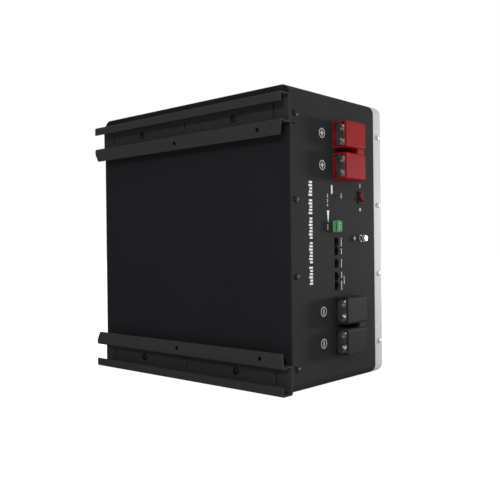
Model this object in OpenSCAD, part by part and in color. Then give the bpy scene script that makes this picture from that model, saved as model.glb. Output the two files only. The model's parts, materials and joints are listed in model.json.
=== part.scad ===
// Wall-hung lithium battery module: a folded steel case on two hanging rails,
// with eight prismatic cells, their management board and a connector end.
//
// Millimetres. +Z is up. The rails face +Y, the front cover faces -Y and the
// connector end faces -X. The origin is the centre of the case's underside.

/* [Case] */
// Length of the case, from the connector end to the far end
case_l = 396; // [380:1:480]
// Height of the case
case_h = 406; // [385:1:500]
// Depth of the case, front cover included and rails left out
case_d = 223.5; // [220:0.5:270]
// Depth of the front cover's side wall
cover_d = 21.5; // [18:0.5:28]
// Radius of the case's four long corners
corner_r = 14; // [10:1:16]
// Sheet thickness of the wrapped band and the back plate
sheet_t = 1.5; // [1:0.1:2]
// Sheet thickness of the front cover
cover_t = 1.2; // [1:0.1:1.5]
// Width of the dark line between band and front cover
split_gap = 0.6; // [0.3:0.1:1.5]
// Depth of the flange turned round the back plate
flange_d = 18; // [15:1:24]

/* [Hanging rails] */
// How far the rails stand off the back plate
rail_d = 20.4; // [14:0.1:24]
// Sheet thickness of a rail
rail_t = 2; // [1.5:0.1:3]
// Height of a rail's channel, between its two webs
channel_h = 35; // [28:0.5:40]
// Height of the lip on a rail's outer web
lip_h = 12.3; // [7:0.1:14]
// Height of the flat strip on a rail's inner web
strip_h = 8.4; // [6:0.1:12]
// Height of the hanging flange beyond the strip
hang_h = 12; // [9:0.5:16]
// How far the hanging flange leans back towards the case
hang_lean = 2.6; // [1:0.1:4]
// Height of the upper rail's outer web below the top of the case
upper_rail_drop = 13; // [0:0.5:40]
// Diameter of the fixing holes in the hanging flanges
hang_hole_d = 6.5; // [5:0.1:8]
// Distance of the first fixing hole from the connector end
hang_hole_x = 40; // [30:1:60]
// Distance between the two fixing holes of a rail
hang_hole_pitch = 162; // [120:1:200]

/* [Power terminals] */
// Length of a terminal hood, across the connector end
hood_w = 47.5; // [42:0.5:56]
// Height of a terminal hood
hood_h = 37; // [36:0.5:40]
// How far a terminal hood stands out of the connector end
hood_out = 23; // [21:0.5:28]
// Distance between the two hoods of a pair
hood_pitch = 44; // [42:0.5:52]
// Distance from the back of the case to the hoods' open ends
hood_u = 95.5; // [90:0.5:110]
// Distance from the case's top to the middle of the positive pair
positive_drop = 79; // [70:1:90]
// Distance from the case's underside to the middle of the negative pair
negative_rise = 81.5; // [70:0.5:90]

/* [Controls and sockets] */
// Distance from the case's back to the middle of the data sockets
jack_u = 101.4; // [98:0.1:108]
// Distance between two data sockets of one housing
jack_pitch = 13; // [12.6:0.1:14]
// Length of the signal plug along its row of poles
plug_h = 15.9; // [15:0.1:20]
// Thickness of the signal plug
plug_w = 8.5; // [7:0.1:10]
// How far the signal plug stands out of the connector end
plug_out = 9.6; // [8:0.1:14]
// How far the signal plug reaches into its header
plug_in = 6.5; // [5:0.5:8]
// Length of the switch bezel, along the way it rocks
bezel_h = 18; // [17:0.1:24]
// Width of the switch bezel
bezel_w = 12.4; // [12:0.1:18]
// Tilt of the rocker to each side of its middle
rocker_tilt = 11; // [8:0.5:12]
// Thread diameter of the earth bolt
earth_d = 5; // [5:1:8]

/* [Cells] */
// Thickness of one cell
cell_x = 54; // [50:0.1:54]
// Width of one cell, along the height of the case
cell_z = 174; // [160:1:174]
// Height of one cell's can, along the depth of the case
cell_y = 200; // [180:1:200]
// Thickness of the insulating sheet between cells
spacer_t = 1; // [0.5:0.1:1.5]

/* [Hidden] */

$fn = 40;
eps = 0.01;          // overshoot of a cut past the face it opens
slip = 0.1;          // clearance between parts that are assembled against each other
fit = 0.05;          // radial clearance of a thread or pivot in its hole
cut = 30;            // length of a cutting block, more than any wall it passes
arc_steps = 12;      // steps in a corner of the case outline
bend_steps = 5;      // steps in a small folded bend

x_panel = -case_l / 2;
x_far = case_l / 2;
y_back = case_d / 2;
y_front = -case_d / 2;
y_split = y_front + cover_d;
mid_h = case_h / 2;

// ---- outlines and frames -------------------------------------------------

function unit(v) = v / norm(v);

// Points that round the corner p1 of the path p0-p1-p2 with radius r
function bend(p0, p1, p2, r) =
    let (
        a = unit(p0 - p1),
        b = unit(p2 - p1),
        half = acos(a * b) / 2,
        first = p1 + a * r / tan(half),
        last = p1 + b * r / tan(half),
        c = p1 + unit(a + b) * r / sin(half),
        start = atan2(first.y - c.y, first.x - c.x),
        stop = atan2(last.y - c.y, last.x - c.x),
        turn = (stop - start + 540) % 360 - 180
    )
    [for (i = [0:bend_steps])
        let (angle = start + turn * i / bend_steps)
        c + r * [cos(angle), sin(angle)]
    ];

// A closed path given as [x, y, radius] corners, with its corners rounded
function rounded(path) =
    let (n = len(path))
    [for (i = [0:n - 1])
        let (
            before = path[(i + n - 1) % n],
            here = path[i],
            after = path[(i + 1) % n]
        )
        each here[2] > 0
            ? bend([before.x, before.y], [here.x, here.y], [after.x, after.y], here[2])
            : [[here.x, here.y]]
    ];

function rounded_rect(w, h, r, n) =
    [for (q = [0:3]) for (i = [0:n])
        let (
            a = 90 * (q + i / n),
            cx = (q == 0 || q == 3 ? 1 : -1) * (w / 2 - r),
            cy = (q < 2 ? 1 : -1) * (h / 2 - r)
        )
        [cx + r * cos(a), cy + r * sin(a)]
    ];

// The case's outline in X and Z, drawn a distance inside the outer face
module case_outline(inset = 0)
    translate([0, mid_h])
        polygon(rounded_rect(case_l - 2 * inset, case_h - 2 * inset, corner_r - inset, arc_steps));

module case_ring(outer, inner) difference() {
    case_outline(outer);
    case_outline(inner);
}

// Extrude an outline in X and Z from y0 to y1
module along_y(y0, y1)
    translate([0, y1, 0]) rotate([90, 0, 0]) linear_extrude(y1 - y0) children();

// Extrude an outline in Y and Z along X
module along_x(x0, x1)
    translate([x0, 0, 0]) rotate([90, 0, 90]) linear_extrude(x1 - x0) children();

// Frame on the connector end: x runs forwards from the back, y up, z outwards
module on_panel(u, z) translate([x_panel, y_back - u, z]) rotate([90, 0, -90]) children();

// Frame on the far end: z outwards
module on_far_end(u, z) translate([x_far, y_back - u, z]) rotate([90, 0, 90]) children();

// Frame on the back plate: z outwards
module on_back(x, z) translate([x, y_back, z]) rotate([90, 0, 180]) children();

module box(x, y, z) translate([x[0], y[0], z[0]]) cube([x[1] - x[0], y[1] - y[0], z[1] - z[0]]);

// A block from panel coordinates: u and z ranges, and depth ranges outwards
module panel_box(u, z, out) on_panel(0, 0) box(u, z, out);

module slot_2d(length, width) {
    square([length - width, width], center = true);
    for (s = [-1, 1]) translate([s * (length - width) / 2, 0]) circle(d = width);
}

// ---- fasteners -------------------------------------------------------------

m4_r = 2;
m5_r = 2.5;
m6_r = 3;
hex_grip = cos(30);  // half the width across flats, as a share of the corner radius

// A pan head screw seated on z = 0, its cross recess in the head
module pan_screw(shank_r, shank_l) {
    head_r = 1.95 * shank_r;
    head_h = 1.2 * shank_r;
    edge_h = 0.4 * head_h;
    dome_steps = 4;
    dome = [for (i = [0:dome_steps])
        let (a = 90 * i / dome_steps)
        [head_r * cos(a), edge_h + (head_h - edge_h) * sin(a)]
    ];
    difference() {
        rotate_extrude()
            polygon(concat([[0, -shank_l], [shank_r, -shank_l], [shank_r, 0], [head_r, 0]], dome));
        for (turn = [0, 90]) rotate(turn)
            translate([0, 0, head_h]) cube([1.1 * head_r, 0.28 * head_r, head_h], center = true);
    }
}

// A hexagon bolt seated on z = 0
module hex_bolt(shank_r, shank_l, head_h, flats) {
    cylinder(r = flats / 2 / hex_grip, h = head_h, $fn = 6);
    translate([0, 0, -shank_l]) cylinder(r = shank_r, h = shank_l + eps);
}

module washer(r, hole_r, t) difference() {
    cylinder(r = r, h = t);
    translate([0, 0, -t]) cylinder(r = hole_r, h = 3 * t);
}

module hex_nut(flats, hole_r, h) difference() {
    cylinder(r = flats / 2 / hex_grip, h = h, $fn = 6);
    translate([0, 0, -h]) cylinder(r = hole_r, h = 3 * h);
}

// ---- case ------------------------------------------------------------------

back_screw_u = 11;
back_screw_z = [-171.5, -49.5, 52.5, 165];   // from the middle of the height
back_screw_l = 6;
cover_screw_in = 11.5;                       // from the cover's rear edge
cover_screw_z = [-155, -52, 52, 155];
cover_screw_l = 7;
cover_screw_u = case_d - cover_d + cover_screw_in;
notch_z = [35, 354.5];
notch_u = 7;
frame_t = 1.5;
frame_in = 12;                               // how far the frame reaches into the band
frame_stop = 6;                              // gap from the frame to the cover's front wall

module back_screw_places() for (z = back_screw_z) {
    on_panel(back_screw_u, mid_h + z) children();
    on_far_end(back_screw_u, mid_h + z) children();
}

module cover_screw_places() for (z = cover_screw_z) {
    on_panel(cover_screw_u, mid_h + z) children();
    on_far_end(cover_screw_u, mid_h + z) children();
}

module hole(r, depth = cut) translate([0, 0, -depth]) cylinder(r = r, h = 2 * depth);

module case_shell() color("#3a3a3b") difference() {
    along_y(y_split + split_gap, y_back) case_ring(0, sheet_t);
    back_screw_places() hole(m4_r + slip);
    for (z = notch_z) panel_box([notch_u - 4, notch_u + 4], [z - 0.9, z + 0.9], [-cut, cut]);
    for (pair_z = [positive_z, negative_z]) for (s = [-1, 1])
        on_panel(0, pair_z + s * hood_pitch / 2) box(
            [bar_u - tongue_gap, bar_u + bar_t + tongue_gap],
            [-tongue_h / 2 - tongue_gap, tongue_h / 2 + tongue_gap],
            [-cut, cut]
        );
    for (z = jack_centres) on_panel(jack_u, z) jack_mouth(cut, slip);
    on_panel(plug_u, plug_z) translate([0, 0, -cut]) linear_extrude(2 * cut)
        square([header_w + 2 * slip, header_h + 2 * slip], center = true);
    on_panel(switch_u, switch_z) translate([0, 0, -cut]) linear_extrude(2 * cut)
        square([bezel_w - 2 * bezel_rim + 2 * slip, bezel_h - 2 * bezel_rim + 2 * slip], center = true);
    on_panel(light_u, light_z) translate([0, 0, -cut]) linear_extrude(2 * cut)
        rotate(90) slot_2d(light_h + 2 * slip, light_w + 2 * slip);
    on_panel(reset_u, reset_z) hole(reset_r + 0.4);
    on_panel(earth_u, earth_z) hole(earth_d / 2 + 2 * slip);
}

module back_plate() color("#2c2c2e") difference() {
    union() {
        along_y(y_back - sheet_t, y_back) case_outline(sheet_t + slip);
        along_y(y_back - flange_d, y_back - sheet_t / 2) case_ring(sheet_t + slip, 2 * sheet_t + slip);
    }
    back_screw_places() hole(m4_r + fit);
    rail_screw_places() hole(m5_r + slip);
}

module front_cover() color("#d6d6d6") difference() {
    along_y(y_front, y_split) case_outline();
    along_y(y_front + cover_t, y_split + cut) case_outline(cover_t);
    cover_screw_places() hole(m4_r + slip);
}

module cover_frame() color("#262627") difference() {
    along_y(y_front + cover_t + frame_stop, y_split + frame_in)
        case_ring(sheet_t + slip, sheet_t + slip + frame_t);
    cover_screw_places() hole(m4_r + fit);
}

module cover_gasket() color("#1b1b1b")
    along_y(y_front + cover_t, y_front + cover_t + frame_stop)
        case_ring(sheet_t + slip, sheet_t + slip + 3 * frame_t);

module back_screws() color("#2a2a2a") back_screw_places() pan_screw(m4_r, back_screw_l);

module cover_screws() color("#b9b9b9") cover_screw_places() pan_screw(m4_r, cover_screw_l);

// ---- hanging rails -----------------------------------------------------------

rail_screw_l = 7;
rail_nut_t = 3;
rail_screw_in = 99;                          // from each end of the rail
rail_screw_z = 21.5;
rail_slot_z = 19;
rail_slots = [[-172, 18], [0, 12], [172, 18]];   // place along the rail, and length
rail_slot_w = 2.6;
web_fall = 2;                                // the inner web drops this much outwards
bend_r = 2.6;                                // outside radius of a folded bend
hang_taper = 3.5;                            // slant of the hanging flange's ends
strip_z = channel_h + strip_h;
hang_hole_z = strip_z + 2.6;

// A rail's section, from the back plate outwards and from its outer web inwards
function rail_section() =
    let (inner_r = bend_r - rail_t)
    rounded([
        [rail_d, lip_h, 0],
        [rail_d, 0, bend_r],
        [0, 0, bend_r],
        [0, channel_h + web_fall + rail_t, bend_r],
        [rail_d - rail_t, channel_h + rail_t, inner_r],
        [rail_d - rail_t, strip_z, bend_r],
        [rail_d - rail_t - hang_lean, strip_z + hang_h, 0],
        [rail_d - hang_lean, strip_z + hang_h, 0],
        [rail_d, strip_z, bend_r],
        [rail_d, channel_h, bend_r],
        [rail_t, channel_h + web_fall, inner_r],
        [rail_t, rail_t, inner_r],
        [rail_d - rail_t, rail_t, inner_r],
        [rail_d - rail_t, lip_h, 0]
    ]);

module rail_screw_places() {
    for (side = [-1, 1]) for (z = [rail_screw_z, case_h - upper_rail_drop - rail_screw_z])
        on_back(side * (case_l / 2 - rail_screw_in), z) children();
}

// The lower rail, its outer web on z = 0
module rail() difference() {
    translate([0, y_back, 0]) along_x(x_panel, x_far) polygon(rail_section());
    for (side = [-1, 1]) scale([side, 1, 1])
        along_y(y_back - eps, y_back + rail_d + eps) polygon([
            [case_l / 2 + eps, strip_z],
            [case_l / 2 + eps, strip_z + hang_h + eps],
            [case_l / 2 - hang_taper, strip_z + hang_h + eps]
        ]);
    for (i = [0, 1])
        translate([x_panel + hang_hole_x + i * hang_hole_pitch, y_back, hang_hole_z])
            rotate([-90, 0, 0]) cylinder(d = hang_hole_d, h = rail_d + cut);
    for (s = rail_slots)
        translate([s[0], y_back - eps, rail_slot_z]) rotate([-90, 0, 0])
            linear_extrude(rail_t + 2 * eps) rotate(90) slot_2d(s[1], rail_slot_w);
    for (side = [-1, 1]) on_back(side * (case_l / 2 - rail_screw_in), rail_screw_z) hole(m5_r + slip);
}

module lower_rail() color("#454546") rail();

module upper_rail() color("#454546")
    translate([0, 0, case_h - upper_rail_drop]) mirror([0, 0, 1]) rail();

module rail_screws() color("#2a2a2a") rail_screw_places()
    translate([0, 0, rail_t]) pan_screw(m5_r, rail_screw_l);

module rail_nuts() color("#a8a49a") rail_screw_places()
    translate([0, 0, -sheet_t - rail_nut_t]) hex_nut(8, m5_r + fit, rail_nut_t);

// ---- power terminals ----------------------------------------------------------

positive_z = case_h - positive_drop;
negative_z = negative_rise;
hood_wall = 2.2;
hood_cap = 3.6;                              // thickness of the hood's outer face
hood_base = 2;
hood_r = 3;
bridge_w = 16;
bridge_sink = 2;
bar_t = 4;
bar_u = hood_u + 5;
bar_out = hood_out - hood_cap - 1.4;
tongue_h = 22;
tongue_in = 24;
tongue_gap = 1.5;                            // insulation gap round a tongue in the panel
bolt_pitch = 21;
bolt_out = 10.4;
bolt_head = 4;
m6_flats = 10;
term_washer_r = 5.3;
term_washer_t = 1.5;
term_bolt_l = 13;
insulator_t = 6;
inner_bar_t = 4;
inner_bar_w = 12;                            // depth of the inner bar, behind the panel
inner_bar_in = 10;
lead_w = 20;                                 // width of the copper leads

// Both terminals of both pairs
module terminal_places(pair_z) for (s = [-1, 1]) on_panel(0, pair_z + s * hood_pitch / 2) children();

// Frame for a bolt through a terminal bar: z points to the open end of the hood
module bolt_places(pair_z) terminal_places(pair_z) for (s = [-1, 1])
    translate([bar_u, s * bolt_pitch / 2, bolt_out]) rotate([0, -90, 0]) children();

module hood_block(wall, out0, out1, r) rotate([90, 0, 90]) linear_extrude(hood_w) polygon(rounded([
    [-hood_h / 2 + wall, out0, 0],
    [hood_h / 2 - wall, out0, 0],
    [hood_h / 2 - wall, out1, r],
    [-hood_h / 2 + wall, out1, r]
]));

module hoods(pair_z) {
    difference() {
        union() {
            terminal_places(pair_z) translate([hood_u, 0, 0]) hood_block(0, 0, hood_out, hood_r);
            panel_box(
                [hood_u + hood_w - bridge_w, hood_u + hood_w],
                [pair_z - hood_pitch / 2, pair_z + hood_pitch / 2],
                [0, hood_out - bridge_sink]
            );
        }
        terminal_places(pair_z) {
            translate([hood_u - hood_wall, 0, 0])
                hood_block(hood_wall, hood_base, hood_out - hood_cap, hood_r - hood_wall / 2);
            box([bar_u - slip, bar_u + bar_t + slip], [-tongue_h / 2 - slip, tongue_h / 2 + slip],
                [-eps, hood_base + eps]);
        }
    }
}

module positive_hoods() color("#b3262c") hoods(positive_z);

module negative_hoods() color("#1d1d1e") hoods(negative_z);

module terminal_bars(pair_z) difference() {
    terminal_places(pair_z) {
        box([bar_u, bar_u + bar_t], [-hood_h / 2 + hood_wall + 0.4, hood_h / 2 - hood_wall - 0.4],
            [hood_base + slip, bar_out]);
        box([bar_u, bar_u + bar_t], [-tongue_h / 2, tongue_h / 2], [-tongue_in, hood_base + slip + eps]);
    }
    bolt_places(pair_z) hole(m6_r + fit);
    bar_bolt_places(pair_z) hole(m6_r + fit);
}

module positive_terminals() color("#b87b4b") terminal_bars(positive_z);

module negative_terminals() color("#b87b4b") terminal_bars(negative_z);

module terminal_bolts() color("#c9c9c6") for (pair_z = [positive_z, negative_z])
    bolt_places(pair_z) translate([0, 0, term_washer_t]) hex_bolt(m6_r, term_bolt_l, bolt_head, m6_flats);

module terminal_washers() color("#bdbdb9") for (pair_z = [positive_z, negative_z])
    bolt_places(pair_z) washer(term_washer_r, m6_r + fit, term_washer_t);

module terminal_insulators() color("#d9d4c4") for (pair_z = [positive_z, negative_z]) difference() {
    panel_box(
        [bar_u - 12, bar_u + bar_t + 14],
        [pair_z - hood_pitch / 2 - 18, pair_z + hood_pitch / 2 + 18],
        [-sheet_t - insulator_t, -sheet_t]
    );
    terminal_places(pair_z)
        box([bar_u - slip, bar_u + bar_t + slip], [-tongue_h / 2 - slip, tongue_h / 2 + slip], [-cut, 0]);
}

// ---- inner power path ----------------------------------------------------------

fuse_in = 70;                                // from the connector end to the fuse
fuse_l = 44;
fuse_w = 26;
lug_l = 12;
lug_t = 3;

function lead_z(z) = [z - lead_w / 2, z + lead_w / 2];

// Frame for a bolt through a terminal tongue and the inner bar
module bar_bolt_places(pair_z) terminal_places(pair_z)
    translate([bar_u, 0, -inner_bar_in - inner_bar_w / 2]) rotate([0, -90, 0]) children();

module inner_bar(pair_z, lead_to) difference() {
    union() {
        panel_box([bar_u + bar_t, bar_u + bar_t + inner_bar_t],
            [pair_z - hood_pitch / 2 - tongue_h / 2, pair_z + hood_pitch / 2 + tongue_h / 2],
            [-inner_bar_in - inner_bar_w, -inner_bar_in]);
        panel_box([bar_u + bar_t, bar_u + bar_t + inner_bar_t], lead_z(pair_z),
            [-lead_to, -inner_bar_in - eps]);
    }
    bar_bolt_places(pair_z) hole(m6_r + fit);
}

module positive_bar() color("#b87b4b") inner_bar(positive_z, fuse_in + lug_l);

module negative_bar() color("#b87b4b") {
    inner_bar(negative_z, lead_end);
    panel_box([bar_u + bar_t, bar_u + bar_t + inner_bar_t],
        [negative_z + lead_w / 2 - eps, bms_z0 + lead_w], [-lead_end, -lead_end + lead_w]);
}

module bar_bolts() color("#c9c9c6") for (pair_z = [positive_z, negative_z])
    bar_bolt_places(pair_z) hex_bolt(m6_r, bar_t + inner_bar_t + 3, bolt_head, m6_flats);

module main_fuse() color("#e8e4da") {
    u0 = bar_u + bar_t + inner_bar_t;
    for (depth = [fuse_in + lug_l, fuse_in + lug_l + fuse_l + lug_l])
        panel_box([u0, u0 + lug_t], lead_z(positive_z), [-depth, -depth + lug_l]);
    translate([x_panel + fuse_in + lug_l, y_back - u0 - fuse_w / 2, positive_z])
        rotate([0, 90, 0]) cylinder(d = fuse_w, h = fuse_l);
}

// ---- cells ----------------------------------------------------------------------

end_plate_t = 5;
end_hole_r = 8;                              // holes that lighten the end plates
end_hole_y = 70;                             // and how far they are from the middle
end_gap = 5;                                 // between the far end plate and the band
pad_t = 3;
pad_short = 3;                               // the pad stops before the case's round corner
row_gap = 4;
strap_t = 1;
strap_w = 16;
strap_y = [60, -45];
back_gap = 6;                                // insulation space behind the cells
post_r = 8;
post_h = 3;
stud_l = 9;
post_z = 61;                                 // terminal post from the middle of the cell
link_t = 2;
link_w = 22;
link_cover_t = 1;
link_cover_gap = 11;

pad_z = 2 * sheet_t + 2 * slip;
cell_z0 = pad_z + pad_t + strap_t + 2 * slip;
cell_pitch = cell_x + spacer_t;
block_l = 4 * cell_x + 3 * spacer_t;
block_x1 = x_far - sheet_t - end_gap - end_plate_t;
block_x0 = block_x1 - block_l;
block_h = 2 * cell_z + row_gap;
can_y1 = y_back - back_gap;
can_y0 = can_y1 - cell_y;
post_y = can_y0 - post_h;
plate_x0 = block_x0 - end_plate_t;

function column_x(c) = block_x0 + c * cell_pitch + cell_x / 2;
function row_z(r) = cell_z0 + r * (cell_z + row_gap) + cell_z / 2;

module can_2d() polygon(rounded_rect(cell_x - 2 * slip, cell_z, 3, bend_steps));

// Cell number n counts along the lower row and then along the upper row
module cell(n) color("#3f6f9e") translate([column_x(n % 4), 0, row_z(floor(n / 4))]) {
    along_y(can_y0, can_y1) can_2d();
    for (s = [-1, 1]) translate([0, can_y0, s * post_z]) rotate([90, 0, 0]) {
        translate([0, 0, -eps]) cylinder(r = post_r, h = post_h + eps);
        cylinder(r = m6_r, h = post_h + stud_l);
    }
    translate([0, can_y0, 0]) rotate([90, 0, 0]) translate([0, 0, -eps]) cylinder(r = 6, h = 1);
}

module cell_1() cell(0);
module cell_2() cell(1);
module cell_3() cell(2);
module cell_4() cell(3);
module cell_5() cell(4);
module cell_6() cell(5);
module cell_7() cell(6);
module cell_8() cell(7);

module cell_spacers() color("#e3dfcf") {
    for (c = [0:2]) for (r = [0, 1])
        box([column_x(c) + cell_x / 2, column_x(c) + cell_x / 2 + spacer_t], [can_y0 + 4, can_y1],
            [row_z(r) - cell_z / 2 + 2, row_z(r) + cell_z / 2 - 2]);
    box([block_x0, block_x1], [can_y0 + 4, can_y1], [row_z(0) + cell_z / 2, row_z(1) - cell_z / 2]);
}

module cell_pad() color("#262626")
    box([plate_x0, block_x1 - pad_short], [can_y0, can_y1 - flange_d], [pad_z, pad_z + pad_t]);

module end_plate(x) color("#b9bcc0") difference() {
    box([x, x + end_plate_t], [can_y0, can_y1], [cell_z0, cell_z0 + block_h]);
    for (r = [0, 1]) for (s = [-1, 1])
        translate([x, (can_y0 + can_y1) / 2 + s * end_hole_y, row_z(r)])
            rotate([0, 90, 0]) hole(end_hole_r);
}

module end_plate_near() end_plate(plate_x0);
module end_plate_far() end_plate(block_x1);

module clamp_straps() color("#9a9d9f") for (y = strap_y) along_y(y - strap_w / 2, y + strap_w / 2) {
    x_mid = (plate_x0 + block_x1 + end_plate_t) / 2;
    z_mid = cell_z0 + block_h / 2;
    w = block_l + 2 * end_plate_t + 2 * slip;
    h = block_h + 2 * slip;
    translate([x_mid, z_mid]) difference() {
        square([w + 2 * strap_t, h + 2 * strap_t], center = true);
        square([w, h], center = true);
    }
}

// The seven bars that join the cells in series, as [column, row, side, across]
links = [
    [0, 0, -1, true], [1, 0, 1, true], [2, 0, -1, true], [3, 0, 1, false],
    [2, 1, 1, true], [1, 1, -1, true], [0, 1, 1, true]
];
pack_negative_z = row_z(0) + post_z;
pack_positive_z = row_z(1) - post_z;
link_y1 = post_y - slip / 2;
link_y0 = link_y1 - link_t;

module link_bar(link) {
    x = column_x(link[0]);
    z = row_z(link[1]) + link[2] * post_z;
    x1 = link[3] ? x + cell_pitch : x;
    z1 = link[3] ? z : pack_positive_z;
    along_y(link_y0, link_y1) difference() {
        translate([(x + x1) / 2, (z + z1) / 2])
            square([x1 - x + link_w, z1 - z + link_w], center = true);
        translate([x, z]) circle(r = m6_r + slip);
        translate([x1, z1]) circle(r = m6_r + slip);
    }
}

module cell_links() color("#b98b5e") for (link = links) link_bar(link);

module link_nuts() color("#c4c4c0") for (c = [0:3]) for (r = [0, 1]) for (s = [-1, 1])
    translate([column_x(c), link_y0, row_z(r) + s * post_z]) rotate([90, 0, 0])
        hex_nut(m6_flats, m6_r + fit, 5);

module link_cover() color("#cfd8dc") {
    y1 = post_y - link_cover_gap;
    box([block_x0, block_x1], [y1 - link_cover_t, y1], [cell_z0, cell_z0 + block_h]);
}

// ---- leads from the cells ---------------------------------------------------------

module lead_to_post(z) difference() {
    along_y(link_y0, link_y1)
        translate([lead_x, z - lead_w / 2]) square([column_x(0) + lead_far - lead_x, lead_w]);
    translate([column_x(0), link_y1 + eps, z]) rotate([90, 0, 0]) cylinder(r = m6_r + slip, h = link_t + 1);
}

module positive_link() color("#b87b4b") {
    fuse_y = y_back - bar_u - bar_t - inner_bar_t - lug_t;
    fuse_x = x_panel + fuse_in + lug_l + fuse_l;
    lead_to_post(pack_positive_z);
    along_y(link_y0, link_y1)
        translate([lead_x, pack_positive_z + lead_w / 2 - eps])
            square([lead_w, positive_z - pack_positive_z + eps]);
    box([lead_x, lead_x + lead_t], [link_y1 - eps, fuse_y], lead_z(positive_z));
    box([fuse_x, lead_x + eps], [fuse_y - lead_t, fuse_y], lead_z(positive_z));
}

module negative_link() color("#b87b4b") {
    lead_to_post(pack_negative_z);
    box([lead_x, lead_x + lead_t], [link_y1 - eps, bms_y0 + bms_foot + lead_lap],
        lead_z(pack_negative_z));
}

// ---- management board -----------------------------------------------------------

sink_t = 16;
board_t = 1.6;
ribbon_t = 0.6;
ribbon_w = 12;
bms_z0 = 112;
bms_z1 = 292;
bms_y0 = -70;
bms_y1 = 60;
bms_foot = 26;                               // bare stretch between the leads and the board
sink_x0 = plate_x0 - strap_t - slip - 2 - sink_t;
board_x = sink_x0 - slip - board_t;
lead_t = 2;
lead_x = board_x - lead_t;                   // the leads lie on the management board's face
lead_far = 8;                                // lead past the middle of its terminal post
lead_lap = 6;                                // lead lying on the board
lead_end = board_x - x_panel;                // from the connector end to the board's face

module bms_heatsink() color("#a3a6a9") difference() {
    box([sink_x0, sink_x0 + sink_t], [bms_y0 + bms_foot, bms_y1], [bms_z0, bms_z1]);
    for (y = [bms_y0 + bms_foot + 3:8:bms_y1 - 8])
        box([sink_x0 + 5, sink_x0 + cut], [y, y + 5], [bms_z0 - 1, bms_z1 + 1]);
}

module bms_board() color("#1f6b43") {
    box([board_x, board_x + board_t], [bms_y0 + bms_foot, bms_y1], [bms_z0 + 4, bms_z1 - 4]);
    for (r = [0:1]) for (c = [0:8])
        box([board_x - 4.5, board_x + eps], [bms_y0 + 37 + r * 22, bms_y0 + 47 + r * 22],
            [bms_z0 + 24 + c * 16, bms_z0 + 34 + c * 16]);
    for (z = [bms_z0 + 28, bms_z1 - 40])
        box([board_x - 14, board_x + eps], [bms_y1 - 34, bms_y1 - 10], [z, z + 20]);
}

module sense_ribbon() color("#8d8f92") {
    ribbon_y = can_y0 - post_h - link_t - 2;
    x0 = lead_x - 4;
    x1 = block_x0 + 30;
    z = [pack_positive_z + lead_w, pack_positive_z + lead_w + ribbon_w];
    foot_y = bms_y0 + bms_foot;
    box([x0, x1], [ribbon_y - ribbon_t, ribbon_y], z);
    box([x0, x0 + ribbon_t], [ribbon_y - eps, foot_y], z);
    box([x0, board_x + board_t], [foot_y - ribbon_t, foot_y], z);
}

// ---- earth bolt -------------------------------------------------------------------

earth_u = 164.3;
earth_z = mid_h + 1.5;
earth_out = 9.8;
earth_head = 3.5;
earth_flats = 1.6 * earth_d;
earth_washer_t = 1;
earth_nut_h = 4.2;

module earth_bolt() color("#cbb26a") on_panel(earth_u, earth_z)
    translate([0, 0, earth_out - earth_head]) rotate(30)
        hex_bolt(earth_d / 2, earth_out - earth_head + sheet_t + earth_washer_t + earth_nut_h + 3,
            earth_head, earth_flats);

module earth_washers() color("#d3c690") on_panel(earth_u, earth_z)
    for (z = [0, earth_out - earth_head - earth_washer_t, -sheet_t - earth_washer_t])
        translate([0, 0, z]) washer(0.95 * earth_d, earth_d / 2 + fit, earth_washer_t);

// One nut locks the bolt on the panel, and the other is behind it
module earth_nut() color("#cbb26a") on_panel(earth_u, earth_z)
    for (z = [earth_washer_t, -sheet_t - earth_washer_t - earth_nut_h])
        translate([0, 0, z]) hex_nut(earth_flats, earth_d / 2 + fit, earth_nut_h);

// ---- rocker switch -------------------------------------------------------------------

switch_u = 164.4;
switch_z = mid_h + 61.8;
bezel_t = 2;
bezel_rim = 0.8;                             // bezel beyond the cut-out in the panel
bezel_r = 1.5;
switch_in = 15;
well_h = bezel_h - 3;
well_w = bezel_w - 3.8;
well_in = 8;
pivot_out = -1;
pivot_r = 1.4;
rocker_l = well_h / 2 - 0.9;                 // half the rocker's length
rocker_rise = 5;                             // ends of the rocker above the pivot
rocker_dip = 3.6;                            // middle of the rocker above the pivot
rocker_w = well_w - 0.6;
rocker_draft = 0.8;                          // the ends lean in by this at the top

module switch_body() color("#1c1c1d") on_panel(switch_u, switch_z) difference() {
    union() {
        linear_extrude(bezel_t) polygon(rounded_rect(bezel_w, bezel_h, bezel_r, bend_steps));
        translate([0, 0, -switch_in]) linear_extrude(switch_in + eps)
            square([bezel_w - 2 * bezel_rim - slip, bezel_h - 2 * bezel_rim - slip], center = true);
        for (s = [-1, 1]) translate([-0.4, s * 5 - 3, -switch_in - 7]) cube([0.8, 6, 7 + eps]);
    }
    translate([0, 0, -well_in]) linear_extrude(cut) square([well_w, well_h], center = true);
    translate([0, 0, pivot_out]) rotate([0, 90, 0])
        translate([0, 0, -well_w / 2 - 0.7]) cylinder(r = pivot_r + fit, h = well_w + 1.4);
}

// The rocker, tipped so that its lower end stands out
module switch_rocker() color("#b8202a") on_panel(switch_u, switch_z) translate([0, 0, pivot_out])
    rotate([-rocker_tilt, 0, 0]) {
        rotate([90, 0, 90]) translate([0, 0, -rocker_w / 2]) linear_extrude(rocker_w)
            polygon(rounded([
                [-rocker_l, -1.5, 1],
                [0, -3.6, 0],
                [rocker_l, -1.5, 1],
                [rocker_l - rocker_draft, pivot_lift(), 0.8],
                [0, rocker_dip, 0],
                [-rocker_l + rocker_draft, pivot_lift(), 0.8]
            ]));
        rotate([0, 90, 0]) translate([0, 0, -well_w / 2 - 0.6]) cylinder(r = pivot_r, h = well_w + 1.2);
    }

function pivot_lift() = rocker_rise + 1;

// ---- signal plug ------------------------------------------------------------------------

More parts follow.
